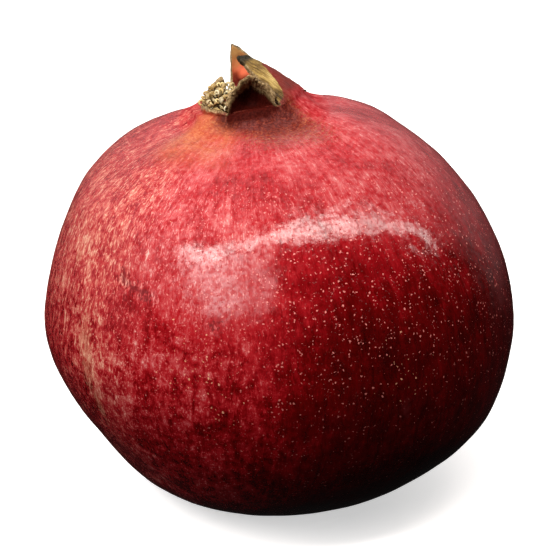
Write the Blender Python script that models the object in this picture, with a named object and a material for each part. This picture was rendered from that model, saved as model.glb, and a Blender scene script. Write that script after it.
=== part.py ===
"""A whole pomegranate resting on its stem end, with its calyx crown on top.

Two nodes: the fruit, whose rind, neck and calyx grew as one piece, and the dry stamens
that stand in the calyx. Metres, +Z up, origin under the middle of the fruit.
"""

import math
import random

import bmesh
import bpy
import numpy as np
from mathutils import Matrix, Vector
from mathutils.bvhtree import BVHTree

# ---------- the body, a turned outline: (radius, height) from the stem end to the crown's rim ----------
OUTLINE = (
    (0.0150, 0.0002),
    (0.0255, 0.0032),
    (0.0348, 0.0098),
    (0.0422, 0.0195),
    (0.0464, 0.0310),
    (0.0472, 0.0405),
    (0.0450, 0.0525),
    (0.0388, 0.0640),
    (0.0298, 0.0722),
    (0.0212, 0.0766),
    (0.0158, 0.0784),
    (0.0123, 0.0801),
    (0.0105, 0.0825),
)
REST_RADIUS = 0.0135  # the flat that it stands on
SCAR_RADIUS = 0.0062  # the dimple round the stem scar
SCAR_DEPTH = 0.0016
STUB_RADIUS = 0.0026  # the cut stem in the dimple
STUB_HEIGHT = 0.0010
# The foot's rings, (radius, height), from the stub's top out to the flat.
FOOT = (
    (STUB_RADIUS, SCAR_DEPTH - STUB_HEIGHT),
    (STUB_RADIUS + 0.0004, SCAR_DEPTH),
    (SCAR_RADIUS - 0.0016, SCAR_DEPTH - 0.0003),
    (SCAR_RADIUS, 0.0),
    (REST_RADIUS, 0.0),
)
BODY_ROWS = 26
NECK_ROWS = 9

# ---------- the axis, which leans to the left towards the crown ----------
WAIST = 0.038  # the height where the axis is upright
CROWN_SHIFT = 0.0057  # how far the crown stands off the middle
CROWN_LEAN = 10  # degrees
LEAN_START = 0.062  # the height where the lean begins
FOOT_SHIFT = 0.0042  # how far the foot stands off the middle
RIM_HEIGHT = OUTLINE[-1][1]

# ---------- broad swells of the body: (azimuth, height, amount, azimuth spread, height spread) ----------
SWELLS = (
    (0, 0.030, 0.0006, 45, 0.016),
    (330, 0.018, 0.0020, 60, 0.013),
    (210, 0.014, -0.0022, 50, 0.013),
    (180, 0.034, 0.0012, 40, 0.012),
    (165, 0.0755, 0.0025, 55, 0.0085),
    (15, 0.066, 0.0007, 45, 0.009),
    (95, 0.045, -0.0010, 40, 0.022),
    (265, 0.034, 0.0008, 45, 0.020),
    (130, 0.020, 0.0010, 35, 0.014),
)
RIB_HEIGHT = 0.0006  # the soft ribs that run down from the calyx lobes
RIB_TOP, RIB_END = 0.0810, 0.0580
RIB_FADE = 0.002  # the height under the rim where the ribs fade out

# ---------- the calyx ----------
RIM_RADIUS = OUTLINE[-1][0]
WALL = 0.0017  # the tube's wall at the rim
CUP_DEPTH = 0.0078
CUP_FLOOR = 0.1  # the floor's last ring, as a share of the rim's radius
CUP_ROWS = 4
LOBE_ROWS = (0.0, 0.17, 0.34, 0.5, 0.65, 0.78, 0.88, 0.95, 1.0)
LOBE_WALL = 0.00115
WALL_TAPER = 0.35  # the share of the way up a lobe where its wall has thinned
LOBE_STEPS = 60  # the steps along a lobe's middle line
LEAN_IN = 0.12  # the share of a lobe's height where it takes up its lean
LEAN_GROWTH = 1.3
TIP_ROUNDNESS = 1.1
GABLE = 0.38  # how much of a broad lobe's height is its low gable
BROAD = 3  # a lobe is broad when its sharpness is over this
NOTCH_HEIGHT, NOTCH_SHARE = 0.0022, 0.05  # where a lobe's wall turns to the rim's own direction
# Each lobe: where it starts and ends round the rim, its height, the shape of its outline, where
# its tip stands across it, how far it leans in at the root and at the tip (degrees), how far it
# turns sideways, and how strongly it is cupped at the tip as a share of the rim's own curve.
LOBES = {
    "right": {
        "span": (-57, 10), "columns": 20, "height": 0.0164, "sharp": 1.75, "tip": 0.06,
        "lean": (46, 68), "turn": 6, "cup": 1.5,
    },
    "back_right": {
        "span": (10, 62), "columns": 14, "height": 0.0062, "sharp": 1.8, "tip": 0.1,
        "lean": (44, 80), "turn": 10, "cup": 1.2,
    },
    "back_left": {
        "span": (62, 116), "columns": 16, "height": 0.0100, "sharp": 1.25, "tip": 0.5,
        "lean": (6, -4), "turn": 4, "cup": 0.7,
    },
    "left": {
        "span": (116, 190), "columns": 14, "height": 0.0070, "sharp": 1.2, "tip": 0.05,
        "lean": (28, 60), "turn": -6, "cup": 1.0,
    },
    "front_left": {
        "span": (190, 241), "columns": 12, "height": 0.0013, "sharp": 5.0, "tip": -0.3,
        "lean": (-6, -10), "turn": 0, "cup": 1.0,
    },
    "front": {"span": (241, 303), "columns": 20, "height": 0.0066, "sharp": 16.0, "tip": 0.12},
}
NOTCH = 0.0005  # how far the notches between the lobes stand over the rim
# The front lobe is pressed in: the way from the rim to its edge, as (inward, upward).
PRESSED_IN = (
    (0.0, 0.0),
    (0.0005, 0.0006),
    (0.0026, 0.0004),
    (0.0050, -0.0002),
    (0.0060, 0.0014),
    (0.0056, 0.0034),
    (0.0040, 0.0053),
    (0.0026, 0.0064),
)
PRESSED_STEPS = 60
PRESSED_SQUARENESS = 3.2
PRESSED_NARROWING = 0.12
CURVE_STEPS = 40  # points between two given points of a curve

# ---------- the stamens, round the rim's axis ----------
STAMENS = 60
TUFT_CENTRE = (-0.0046, -0.0010, -0.0014)
TUFT_CORE = (0.0027, 0.0032, 0.0027)
TUFT_REACH = (0.0052, 0.0058, 0.0058)
TUFT_AIM = (-0.45, -0.35, 1.0)  # which way the tuft spills
FILAMENT_RADIUS = 0.0003
ANTHER = (0.00042, 0.00042, 0.00066)  # half its width, depth and length
CLEARANCE = 0.0004  # between the stamens and the rind
HEAD_SHARES = (1.0, 0.93, 0.86, 0.79, 0.72)  # how far out an anther stands: the first that is clear
HEAD_SCATTER = 0.94
STALK_SHARES = (0.6, 0.7, 0.8, 0.9)  # where a filament's own clearance is looked at
ROOT_SHARE = 0.2  # where a filament leaves the core's middle
TUFT_SPREAD = 0.85  # 1 would be half a sphere
ANTHER_TILT = 70  # degrees across its filament
SEED = 7

RIND_RED = (0.42, 0.03, 0.04, 1.0)
STAMEN_GOLD = (0.62, 0.42, 0.16, 1.0)


def smooth(x):
    """0 below 0, 1 above 1, and a smooth step between."""
    x = np.clip(x, 0.0, 1.0)
    return x * x * (3 - 2 * x)


def curve_through(points, count):
    """`count` points evenly spaced along a smooth curve through the given ones."""
    p = np.array(points, float)
    ends = np.vstack([2 * p[0] - p[1], p, 2 * p[-1] - p[-2]])
    fine = []
    for i in range(len(p) - 1):
        a, b, c, d = ends[i : i + 4]
        for t in np.linspace(0, 1, CURVE_STEPS, endpoint=False):
            fine.append(
                0.5 * (2 * b + (c - a) * t + (2 * a - 5 * b + 4 * c - d) * t**2 + (3 * b - a - 3 * c + d) * t**3)
            )
    fine = np.array([*fine, p[-1]])
    along = np.concatenate([[0], np.cumsum(np.linalg.norm(np.diff(fine, axis=0), axis=1))])
    wanted = np.linspace(0, along[-1], count)
    return np.stack([np.interp(wanted, along, fine[:, k]) for k in range(p.shape[1])], axis=1)


def axis_at(height):
    """The axis's shift to the side and its lean at a height."""
    over = max(height - WAIST, 0) / (RIM_HEIGHT - WAIST)
    under = max(WAIST - height, 0) / WAIST
    shift = -CROWN_SHIFT * over**2 - FOOT_SHIFT * under**2
    lean = math.radians(CROWN_LEAN) * smooth((height - LEAN_START) / (RIM_HEIGHT - LEAN_START))
    return shift, lean


def placed(local, height):
    """Points given round the axis at a height, (x, y, rise), in the fruit's own frame."""
    shift, lean = axis_at(height)
    x = local[..., 0] * math.cos(lean) - local[..., 2] * math.sin(lean) + shift
    z = local[..., 0] * math.sin(lean) + local[..., 2] * math.cos(lean) + height
    return np.stack([x, local[..., 1], z], axis=-1)


def round_axis(azimuth, radius, rise=0.0):
    """Points at these azimuths (radians) and radii, round an upright axis."""
    return np.stack(
        [radius * np.cos(azimuth), radius * np.sin(azimuth), np.broadcast_to(rise, np.shape(azimuth))], axis=-1
    )


def columns():
    """Each column's azimuth, its lobe's name and its place across that lobe, -1 to 1."""
    azimuth, names, across = [], [], []
    for name, lobe in LOBES.items():
        start, end = lobe["span"]
        for i in range(lobe["columns"]):
            even = i / lobe["columns"] - 0.5
            u = even + 0.5 * math.sin(even * math.pi)  # closer together towards the notches
            azimuth.append(math.radians((start + end) / 2 + u * (end - start) / 2))
            names.append(name)
            across.append(u)
    return np.array(azimuth), names, np.array(across)


def swell(azimuth, height):
    """How far the body stands out from its outline, square to it, from the broad swells."""
    out = np.zeros_like(azimuth)
    for where, level, amount, wide, tall in SWELLS:
        turn = (azimuth - math.radians(where) + math.pi) % (2 * math.pi) - math.pi
        out += amount * np.exp(-((turn / math.radians(wide)) ** 2) - ((height - level) / tall) ** 2)
    return out


def body_ring(azimuth, across, radius, height, slope):
    """One ring of the body's outside; `slope` is how steeply the outline climbs there."""
    ribs = RIB_HEIGHT * np.cos(math.pi * across) * smooth((height - RIB_END) / (RIB_TOP - RIB_END))
    out = swell(azimuth, height) + ribs * smooth((RIM_HEIGHT - height) / RIB_FADE)
    return placed(round_axis(azimuth, radius + out * math.sin(slope), -out * math.cos(slope)), height)


def edge_height(lobe, u):
    """How high a lobe's edge stands over the rim, across it."""
    tip = lobe["tip"]
    skewed = np.where(u > tip, (u - tip) / (1 - tip), (u - tip) / (1 + tip))
    if lobe["sharp"] > BROAD:  # upright sides and a low gable
        gable = (1 - np.abs(skewed)) * (1 - np.abs(u) ** (lobe["sharp"] / 2))
        shape = (1 - GABLE) * (1 - np.abs(u) ** lobe["sharp"]) + GABLE * gable
    else:
        shape = (1 - np.abs(skewed) ** lobe["sharp"]) ** TIP_ROUNDNESS
    return NOTCH + (lobe["height"] - NOTCH) * shape


def lobe_sheet(lobe, u, share):
    """The lobe's outside at u across it and a share of the way up to its edge, round the rim's axis."""
    start, end = (math.radians(a) for a in lobe["span"])
    middle, half = (start + end) / 2, (end - start) / 2
    edge = edge_height(lobe, u)
    if "lean" not in lobe:
        return pressed_sheet(lobe, u, share, middle, half, edge)
    along = np.linspace(0, lobe["height"], LOBE_STEPS)
    f = along / lobe["height"]
    root_lean, tip_lean = lobe["lean"]
    lean = np.radians(root_lean * smooth(f / LEAN_IN) + (tip_lean - root_lean) * f**LEAN_GROWTH)
    turn = np.radians(lobe["turn"]) * f
    out = np.array([math.cos(middle), math.sin(middle), 0])
    side = np.array([-math.sin(middle), math.cos(middle), 0])
    up = np.array([0, 0, 1.0])
    rising = np.cos(lean)[:, None] * up - np.sin(lean)[:, None] * out
    inward = -np.cos(lean)[:, None] * out - np.sin(lean)[:, None] * up
    direction = np.cos(turn)[:, None] * rising + np.sin(turn)[:, None] * side
    lateral = np.cos(turn)[:, None] * side - np.sin(turn)[:, None] * rising
    step = along[1] - along[0]
    centre = RIM_RADIUS * out + np.vstack([[0, 0, 0], np.cumsum((direction[1:] + direction[:-1]) / 2 * step, axis=0)])
    bend = (1 + (lobe["cup"] - 1) * f) / RIM_RADIUS
    at = np.clip(edge * share / lobe["height"], 0, 1) * (LOBE_STEPS - 1)
    grid = np.arange(LOBE_STEPS)

    def pick(values):
        if values.ndim == 1:
            return np.interp(at, grid, values)
        return np.stack([np.interp(at, grid, values[:, k]) for k in range(3)], axis=-1)

    arc = u * half * RIM_RADIUS
    k = pick(bend)
    return (
        pick(centre)
        + pick(lateral) * (np.sin(k * arc) / k)[..., None]
        + pick(inward) * ((1 - np.cos(k * arc)) / k)[..., None]
    )


def pressed_sheet(lobe, u, share, middle, half, edge):
    """The front lobe: it dips in behind the rim, and its edge comes forward again."""
    way = curve_through(PRESSED_IN, PRESSED_STEPS + 1)
    at = share * PRESSED_STEPS
    grid = np.arange(PRESSED_STEPS + 1)
    inward = np.interp(at, grid, way[:, 0]) * np.clip(1 - np.abs(u) ** PRESSED_SQUARENESS, 0, 1) ** 0.8
    rise = np.interp(at, grid, way[:, 1]) * edge / lobe["height"]
    azimuth = middle + u * half * (1 - PRESSED_NARROWING * share)
    return round_axis(azimuth, RIM_RADIUS - inward, 0.0) + np.stack([0 * rise, 0 * rise, rise], axis=-1)


def calyx():
    """The lobes' outer and inner surfaces over the rim, as rows of points round the rim's axis."""
    azimuth, names, across = columns()
    lobes = list(LOBES.values())
    outside = np.zeros((len(LOBE_ROWS), len(azimuth), 3))
    edge = np.zeros(len(azimuth))
    for c, (name, u) in enumerate(zip(names, across)):
        shares = np.array(LOBE_ROWS)
        outside[:, c] = lobe_sheet(LOBES[name], np.full(len(shares), u), shares)
        edge[c] = edge_height(LOBES[name], u)
        if math.isclose(u, -1):  # a notch, shared with the lobe before
            before = lobes[list(LOBES).index(name) - 1]
            outside[:, c] = 0.5 * (outside[:, c] + lobe_sheet(before, np.ones(len(shares)), shares))
    down = np.gradient(outside, axis=0)
    around = np.roll(outside, -1, axis=1) - np.roll(outside, 1, axis=1)
    inward = np.cross(down, around)
    inward /= np.linalg.norm(inward, axis=-1, keepdims=True) + 1e-12
    rim_inward = -round_axis(azimuth, np.ones_like(azimuth))
    shares = np.array(LOBE_ROWS)[:, None]
    blend = (smooth(shares * edge / NOTCH_HEIGHT) * smooth((1 - np.abs(across)) / NOTCH_SHARE))[..., None]
    inward = blend * inward + (1 - blend) * rim_inward
    inward /= np.linalg.norm(inward, axis=-1, keepdims=True)
    wall = WALL + (LOBE_WALL - WALL) * smooth(shares / WALL_TAPER)
    to_edge = (1 - shares) * edge[None, :]
    half = 0.5 * wall * np.sqrt(1 - (1 - np.clip(to_edge / (0.5 * LOBE_WALL), 0, 1)) ** 2)
    middle = outside + inward * (0.5 * wall)[..., None]
    inner = middle + inward * half[..., None]
    outer = middle - inward * half[..., None]
    return azimuth, across, outer, inner


def cup_rows(inner_rim):
    """The inside of the calyx tube, from the rim down to the middle of its floor."""
    rows = []
    for i in range(1, CUP_ROWS + 1):
        f = i / CUP_ROWS
        ring = inner_rim.copy()
        ring[:, :2] *= 1 - (1 - CUP_FLOOR) * smooth(f)
        ring[:, 2] = inner_rim[:, 2] * (1 - f) - CUP_DEPTH * math.sin(f * math.pi / 2)
        rows.append(ring)
    return rows


def bridge(mesh, lower, upper):
    """Quads between two rings; where the upper has twice the points, three triangles for each pair."""
    n = len(lower)
    for i in range(n):
        j = (i + 1) % n
        if len(upper) == n:
            mesh.faces.new((lower[i], lower[j], upper[j], upper[i]))
            continue
        a, b, c = upper[2 * i], upper[2 * i + 1], upper[(2 * i + 2) % len(upper)]
        mesh.faces.new((lower[i], lower[j], b))
        mesh.faces.new((lower[i], b, a))
        mesh.faces.new((lower[j], c, b))


def fruit_mesh():
    """The rind, neck and calyx as one closed surface, from the stem scar up, over and into the cup."""
    azimuth, across, outer, inner = calyx()
    even = np.linspace(0, 2 * math.pi, len(azimuth), endpoint=False) + azimuth[0]
    outline = curve_through(OUTLINE, BODY_ROWS + NECK_ROWS)
    coarse, coarse_across = even[::2], across[::2]
    rings = []
    for radius, height in FOOT:
        rings.append(placed(round_axis(coarse, np.full(len(coarse), radius)), 0.0) + [0, 0, height])
    along = np.gradient(outline, axis=0)
    slopes = np.arctan2(along[:, 1], along[:, 0])
    for row in range(1, len(outline) - 1):
        if row < BODY_ROWS:
            rings.append(body_ring(coarse, coarse_across, *outline[row], slopes[row]))
        else:
            f = (row + 1 - BODY_ROWS) / NECK_ROWS
            rings.append(body_ring(even * (1 - f) + azimuth * f, across, *outline[row], slopes[row]))
    for row in outer:
        rings.append(placed(row, RIM_HEIGHT))
    for row in inner[-2::-1]:
        rings.append(placed(row, RIM_HEIGHT))
    for row in cup_rows(inner[0]):
        rings.append(placed(row, RIM_HEIGHT))
    mesh = bmesh.new()
    made = [[mesh.verts.new(p) for p in ring] for ring in rings]
    for lower, upper in zip(made, made[1:]):
        bridge(mesh, lower, upper)
    cap(mesh, made[0], inward=True)
    cap(mesh, made[-1], inward=False)
    bmesh.ops.recalc_face_normals(mesh, faces=mesh.faces)
    return mesh


def cap(mesh, ring, inward):
    """Closes a ring with a fan round its middle."""
    middle = mesh.verts.new(sum((v.co for v in ring), Vector()) / len(ring))
    for a, b in zip(ring, ring[1:] + ring[:1]):
        mesh.faces.new((b, a, middle) if inward else (a, b, middle))


def clear_of(tree, points, gap):
    """Whether every point is outside the rind, and off it by the gap."""
    for point in points:
        near, normal, _, distance = tree.find_nearest(point)
        if distance < gap or (point - near).dot(normal) < 0:
            return False
    return True


def tuft_heads(tree):
    """Where the anthers stand: spread evenly over the tuft, with a small scatter, clear of the rind."""
    draw = random.Random(SEED)
    centre, reach = np.array(TUFT_CENTRE), np.array(TUFT_REACH)
    aim = Vector(TUFT_AIM).to_track_quat("Z", "Y")
    golden = math.pi * (3 - math.sqrt(5))
    heads = []
    for i in range(STAMENS):
        rise = 1 - TUFT_SPREAD * (i + 0.5) / STAMENS
        flat = math.sqrt(1 - rise * rise)
        way = aim @ Vector((flat * math.cos(i * golden), flat * math.sin(i * golden), rise))
        for share in HEAD_SHARES:
            local = centre + np.array(way) * reach * share * draw.uniform(HEAD_SCATTER, 1.0)
            head = Vector(placed(local, RIM_HEIGHT))
            root = Vector(placed(centre, RIM_HEIGHT))
            stalk = [root.lerp(head, t) for t in STALK_SHARES]
            if clear_of(tree, [head], CLEARANCE + ANTHER[2]) and clear_of(tree, stalk, CLEARANCE + FILAMENT_RADIUS):
                heads.append((head, draw.uniform(0, math.pi)))
                break
    return heads


def stamen_into(mesh, root, head, spin):
    """One stamen: a slim three-sided filament with a bean of an anther across its end."""
    way = (head - root).normalized()
    frame = way.to_track_quat("Z", "Y").to_matrix().to_4x4()
    bmesh.ops.create_cone(
        mesh, cap_ends=True, segments=3, radius1=FILAMENT_RADIUS, radius2=FILAMENT_RADIUS,
        depth=(head - root).length, matrix=Matrix.Translation((root + head) / 2) @ frame,
    )
    tilt = Matrix.Rotation(spin, 4, "Z") @ Matrix.Rotation(math.radians(ANTHER_TILT), 4, "X")
    bean = Matrix.Translation(head) @ frame @ tilt @ Matrix.Diagonal((*ANTHER, 1))
    bmesh.ops.create_icosphere(mesh, subdivisions=1, radius=1.0, matrix=bean)


def stamen_tuft(fruit):
    """The stamens, fused with the core that they grow from."""
    tree = BVHTree.FromObject(fruit, bpy.context.evaluated_depsgraph_get())
    root = Vector(placed(np.array(TUFT_CENTRE), RIM_HEIGHT))
    core = bmesh.new()
    lean = Matrix.Rotation(-axis_at(RIM_HEIGHT)[1], 4, "Y")
    shape = Matrix.Translation(root) @ lean @ Matrix.Diagonal((*TUFT_CORE, 1))
    bmesh.ops.create_icosphere(core, subdivisions=2, radius=1.0, matrix=shape)
    tuft = new_object("stamens", core, STAMEN_GOLD, 0.7)
    loose = bmesh.new()
    for head, spin in tuft_heads(tree):
        stamen_into(loose, root.lerp(head, ROOT_SHARE), head, spin)
    tool = new_object("loose_stamens", loose, STAMEN_GOLD, 0.7)
    union = tuft.modifiers.new("union", "BOOLEAN")
    union.operation, union.solver, union.object, union.use_self = "UNION", "EXACT", tool, True
    fused = bpy.data.meshes.new_from_object(tuft.evaluated_get(bpy.context.evaluated_depsgraph_get()))
    tuft.modifiers.clear()
    tuft.data = fused
    bpy.data.objects.remove(tool)
    return tuft


def new_object(name, mesh, colour, roughness):
    data = bpy.data.meshes.new(name)
    mesh.to_mesh(data)
    mesh.free()
    made = bpy.data.objects.new(name, data)
    bpy.context.scene.collection.objects.link(made)
    material = bpy.data.materials.new(name)
    material.use_nodes = True
    shader = material.node_tree.nodes["Principled BSDF"]
    shader.inputs["Base Color"].default_value = colour
    shader.inputs["Roughness"].default_value = roughness
    material.diffuse_color = colour
    data.materials.append(material)
    return made


def main():
    for old in list(bpy.data.objects):
        bpy.data.objects.remove(old)
    fruit = new_object("fruit", fruit_mesh(), RIND_RED, 0.35)
    fruit.data.shade_smooth()
    tuft = stamen_tuft(fruit)
    corners = np.array([v.co for v in fruit.data.vertices])
    low, high = corners.min(axis=0), corners.max(axis=0)
    centring = Matrix.Translation((-(low[0] + high[0]) / 2, -(low[1] + high[1]) / 2, -low[2]))
    for piece in (fruit, tuft):
        piece.data.transform(centring)


main()
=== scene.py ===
"""Looks for the pomegranate: its rind and calyx, its dry stamens, and the light, floor and camera.

The fruit is one grid from the stem scar over the body and neck, up the outside of the calyx lobes, down
their inside and into the cup. Metres, +Z up.
"""

import math
import random
from functools import partialmethod

import bpy
import numpy as np
from mathutils import Matrix, Vector
from mathutils.bvhtree import BVHTree
from mathutils.noise import fractal


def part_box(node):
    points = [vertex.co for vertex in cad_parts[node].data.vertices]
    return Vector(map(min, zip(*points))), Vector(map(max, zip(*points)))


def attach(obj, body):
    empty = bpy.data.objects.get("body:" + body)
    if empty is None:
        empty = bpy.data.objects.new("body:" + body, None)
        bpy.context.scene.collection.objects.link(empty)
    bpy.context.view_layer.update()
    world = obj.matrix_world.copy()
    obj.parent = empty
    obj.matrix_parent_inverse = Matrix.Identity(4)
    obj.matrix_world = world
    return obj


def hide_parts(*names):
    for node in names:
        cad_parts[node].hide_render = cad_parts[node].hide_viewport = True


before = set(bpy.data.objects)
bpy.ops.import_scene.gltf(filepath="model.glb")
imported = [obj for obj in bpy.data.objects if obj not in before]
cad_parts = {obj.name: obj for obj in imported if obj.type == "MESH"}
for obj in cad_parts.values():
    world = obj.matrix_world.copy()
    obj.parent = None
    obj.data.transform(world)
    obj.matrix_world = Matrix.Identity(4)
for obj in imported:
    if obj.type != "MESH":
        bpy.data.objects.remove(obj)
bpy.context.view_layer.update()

MM = 0.001

# ------ the body, a turned outline: (radius, height) from the stem end to the crown's rim ------
OUTLINE = (
    (0.015, 0.0002), (0.0255, 0.0032), (0.0348, 0.0098), (0.0422, 0.0195),
    (0.0464, 0.031), (0.0472, 0.0405), (0.045, 0.0525), (0.0388, 0.064),
    (0.0298, 0.0722), (0.0212, 0.0766), (0.0158, 0.0784), (0.0123, 0.0801),
    (0.0105, 0.0825),
)
REST_RADIUS = 0.0135
SCAR_RADIUS = 0.0062
SCAR_DEPTH = 0.0016
STUB_RADIUS = 0.0026
STUB_HEIGHT = 0.0010
# The foot from its middle outward: the stem's stub in its scar, then the flat that the fruit rests on.
FOOT = (
    (STUB_RADIUS * 0.5, SCAR_DEPTH - STUB_HEIGHT), (STUB_RADIUS * 0.92, SCAR_DEPTH - STUB_HEIGHT),
    (STUB_RADIUS, SCAR_DEPTH - STUB_HEIGHT * 0.85), (STUB_RADIUS * 1.02, SCAR_DEPTH - STUB_HEIGHT * 0.4),
    (STUB_RADIUS * 1.15, SCAR_DEPTH), (SCAR_RADIUS * 0.6, SCAR_DEPTH * 0.97),
    (SCAR_RADIUS * 0.75, SCAR_DEPTH * 0.8), (SCAR_RADIUS * 0.9, SCAR_DEPTH * 0.25),
    (SCAR_RADIUS, 0.0), (SCAR_RADIUS * 1.2, 0.0),
    (REST_RADIUS * 0.8, 0.0), (REST_RADIUS, 0.0),
)
SKIN_ROWS = 140
NECK_SHARE = 9 / 35  # the share of the outline's length where the columns gather for the lobes

# ------ the axis, which leans to the left towards the crown ------
WAIST = 0.038
CROWN_SHIFT = 0.0057
CROWN_LEAN = 10
LEAN_START = 0.062
FOOT_SHIFT = 0.0042
RIM_HEIGHT = OUTLINE[-1][1]

# ------ broad swells: (azimuth, height, amount, azimuth spread, height spread) ------
SWELLS = (
    (0, 0.03, 0.0006, 45, 0.016), (330, 0.018, 0.002, 60, 0.013), (210, 0.014, -0.0022, 50, 0.013),
    (180, 0.034, 0.0012, 40, 0.012), (165, 0.0755, 0.0025, 55, 0.0085), (15, 0.066, 0.0007, 45, 0.009),
    (95, 0.045, -0.001, 40, 0.022), (265, 0.034, 0.0008, 45, 0.02), (130, 0.02, 0.001, 35, 0.014),
)
RIB_HEIGHT = 0.0006
RIB_TOP, RIB_END = 0.0810, 0.0580

# ------ the calyx ------
RIM_RADIUS = OUTLINE[-1][0]
WALL = 0.0017
CUP_DEPTH = 0.0078
CUP_ROWS = 14
LOBE_STEPS = 34
LOBE_WALL = 0.00115
COLUMNS_PER_DEGREE = 1.06
# Each lobe's span round the rim in degrees, height, power of its outline (a high one is blunt), place of
# the tip, raggedness, how fleshy inside and how dry outside, lean at the root and tip, sideways turn, and
# how its cupping grows. The front lobe is pressed in and has no lean.
LOBE_COLUMNS = ("span", "height", "sharp", "tip", "ragged", "flesh", "dry", "lean", "turn", "cup")
LOBE_ROWS = {
    "right": ((-57, 10), 0.0158, 1.75, 0.06, 0.0006, 0.3, 1.0, (46, 68), 6, 1.5),
    "back_right": ((10, 62), 0.0062, 1.8, 0.1, 0.0003, 1.0, 0.7, (44, 80), 10, 1.2),
    "back_left": ((62, 116), 0.0100, 1.25, 0.5, 0.0002, 1.0, 0.4, (6, -4), 4, 0.7),
    "left": ((116, 190), 0.0070, 1.2, 0.05, 0.0004, 0.2, 0.6, (28, 60), -6, 1.0),
    "front_left": ((190, 241), 0.0013, 5.0, -0.3, 0.0007, 0.2, 0.5, (-6, -10), 0, 1.0),
    "front": ((241, 303), 0.0062, 16.0, 0.12, 0.0007, 0.4, 0.0),
}
LOBES = {name: dict(zip(LOBE_COLUMNS, row)) for name, row in LOBE_ROWS.items()}
NOTCH = 0.0005
BLUNT = 3  # a lobe with a higher power than this has a flat top with a low gable
GABLE = 0.52  # how much of a broad lobe's height is its low gable
EDGE_FADE = 0.0011  # how far down from the edge it is torn
ROOT_BLEND = 0.0022  # the height over which the wall turns square to the lobe
# A round swelling of the flesh inside the back lobes: azimuth, height, azimuth spread, height spread.
LUMP = (94, 0.0034, 11, 0.0015)
LUMP_DEPTH = 0.0019
# The front lobe from its root to its edge: (how far inward, how far up).
PRESSED_IN = (
    (0.0, 0.0), (0.0005, 0.0006), (0.0026, 0.0004), (0.0050, -0.0002),
    (0.0060, 0.0014), (0.0056, 0.0034), (0.0040, 0.0053), (0.0026, 0.0064),
)
# Painted shade: the right lobe's curled tip is painted near black above this height.
TIP_SHADE_FROM = 0.012  # the right lobe is dark above this height over the rim
NECK_RADIUS, NECK_FADE = 0.0185, 0.0075  # how narrow the body is where the neck's skin begins

# ------ the skin's colours round the fruit ------
GRAIN_RADIUS = 0.047  # the radius at which the grain runs round the body
# Where each colour sets in and is full, in degrees from the back (90) round the left to the front (270).
TURN_START = 90
DEEP_SIDE = (245, 298)
DEEP_SIDE_EASES = (335, 375)
STREAKS_EASE = (205, 247)
MOTTLED_SIDE = (195, 215)
CRIMSON_SIDE = (220, 240)
BACK_AGAIN = (450, 390)  # they fade again where the turn closes
BLUSH_AZIMUTH, COLLAR_AZIMUTH = 227, 274
# Lighter and darker patches: (azimuth, height in mm, amount, azimuth spread, height spread in mm).
TONE_PATCHES = (
    # The lighter patch at 262°, 58 mm lies under the highlight and is partly painted highlight.
    (230, 27, 0.08, 14, 8), (215, 60, 0.05, 18, 9), (262, 58, 0.11, 15, 8),
    (250, 22, -0.08, 16, 7), (320, 66, 0.08, 10, 6), (200, 38, -0.1, 10, 8),
    (240, 40, -0.05, 14, 12), (246, 42, -0.09, 9, 7), (232, 48, -0.06, 9, 6),
    (268, 33, -0.05, 12, 10), (208, 67, 0.06, 22, 6), (332, 20, 0.1, 24, 10),
    (282, 48, -0.06, 16, 14), (265, 68.5, 0.06, 9, 4), (258, 76.3, 0.06, 24, 1.3),
    (267, 73.5, -0.09, 12, 3.0),
)
# Marks on the skin, by their mask: (azimuth, height in mm, azimuth spread, height spread in mm).
MARKS = {
    "scuff": (
        (228, 56.8, 2.4, 1.6), (232, 55.4, 3.4, 1.3), (237, 54.4, 2.4, 1.6), (255, 51.3, 2.2, 1.6),
        (300, 33, 1.2, 2.5),
    ),
    "scab": ((217, 44, 3, 5), (219, 37, 2.2, 5), (221, 29, 1.6, 4.5), (208, 57, 2.2, 2.6)),
    "cream": (
        (254, 42, 3, 3), (256, 36, 3.5, 3), (257, 31, 3, 2.5), (259, 54.2, 1.2, 1.4),
        (240, 68.6, 1, 1.4), (231, 67.5, 1.6, 1.4), (247, 44, 5, 5), (300, 40, 5, 4),
    ),
    "calm": ((257, 57, 11, 7),),
}

# ------ the stamens, round the rim's axis ------
STAMENS = 125
TUFT_CENTRE = np.array((-0.0058, -0.0017, -0.0010))
TUFT_REACH = np.array((0.0047, 0.0058, 0.0054))
TUFT_AIM = (-0.45, -0.35, 1.0)
ANTHER_LENGTH = 0.0013
ANTHER_WIDTH = 0.00042
ANTHER_STEPS = 10
FILAMENT_RADIUS = 0.00011
FILAMENT_STEPS = 8
TOO_DEEP = 0.002  # a stamen that goes further into the skin than this is left out
SEED = 7


# ============ shape ============


def smooth(x):
    """0 below 0, 1 above 1, and a smooth step between."""
    x = np.clip(x, 0.0, 1.0)
    return x * x * (3 - 2 * x)


def fade(x, start, end):
    """0 at the start, 1 at the end, smoothly; the start may be the larger."""
    return smooth((x - start) / (end - start))


def away_from(azimuth, centre):
    """How many degrees an azimuth in radians is from this one in degrees."""
    return np.abs((np.degrees(azimuth) - centre + 180) % 360 - 180)


def hill(azimuth, height, where, level, wide, tall):
    """A soft hill, 1 at this azimuth (degrees) and level, with its spread in both."""
    return np.exp(-((away_from(azimuth, where) / wide) ** 2) - ((height - level) / tall) ** 2)


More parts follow.
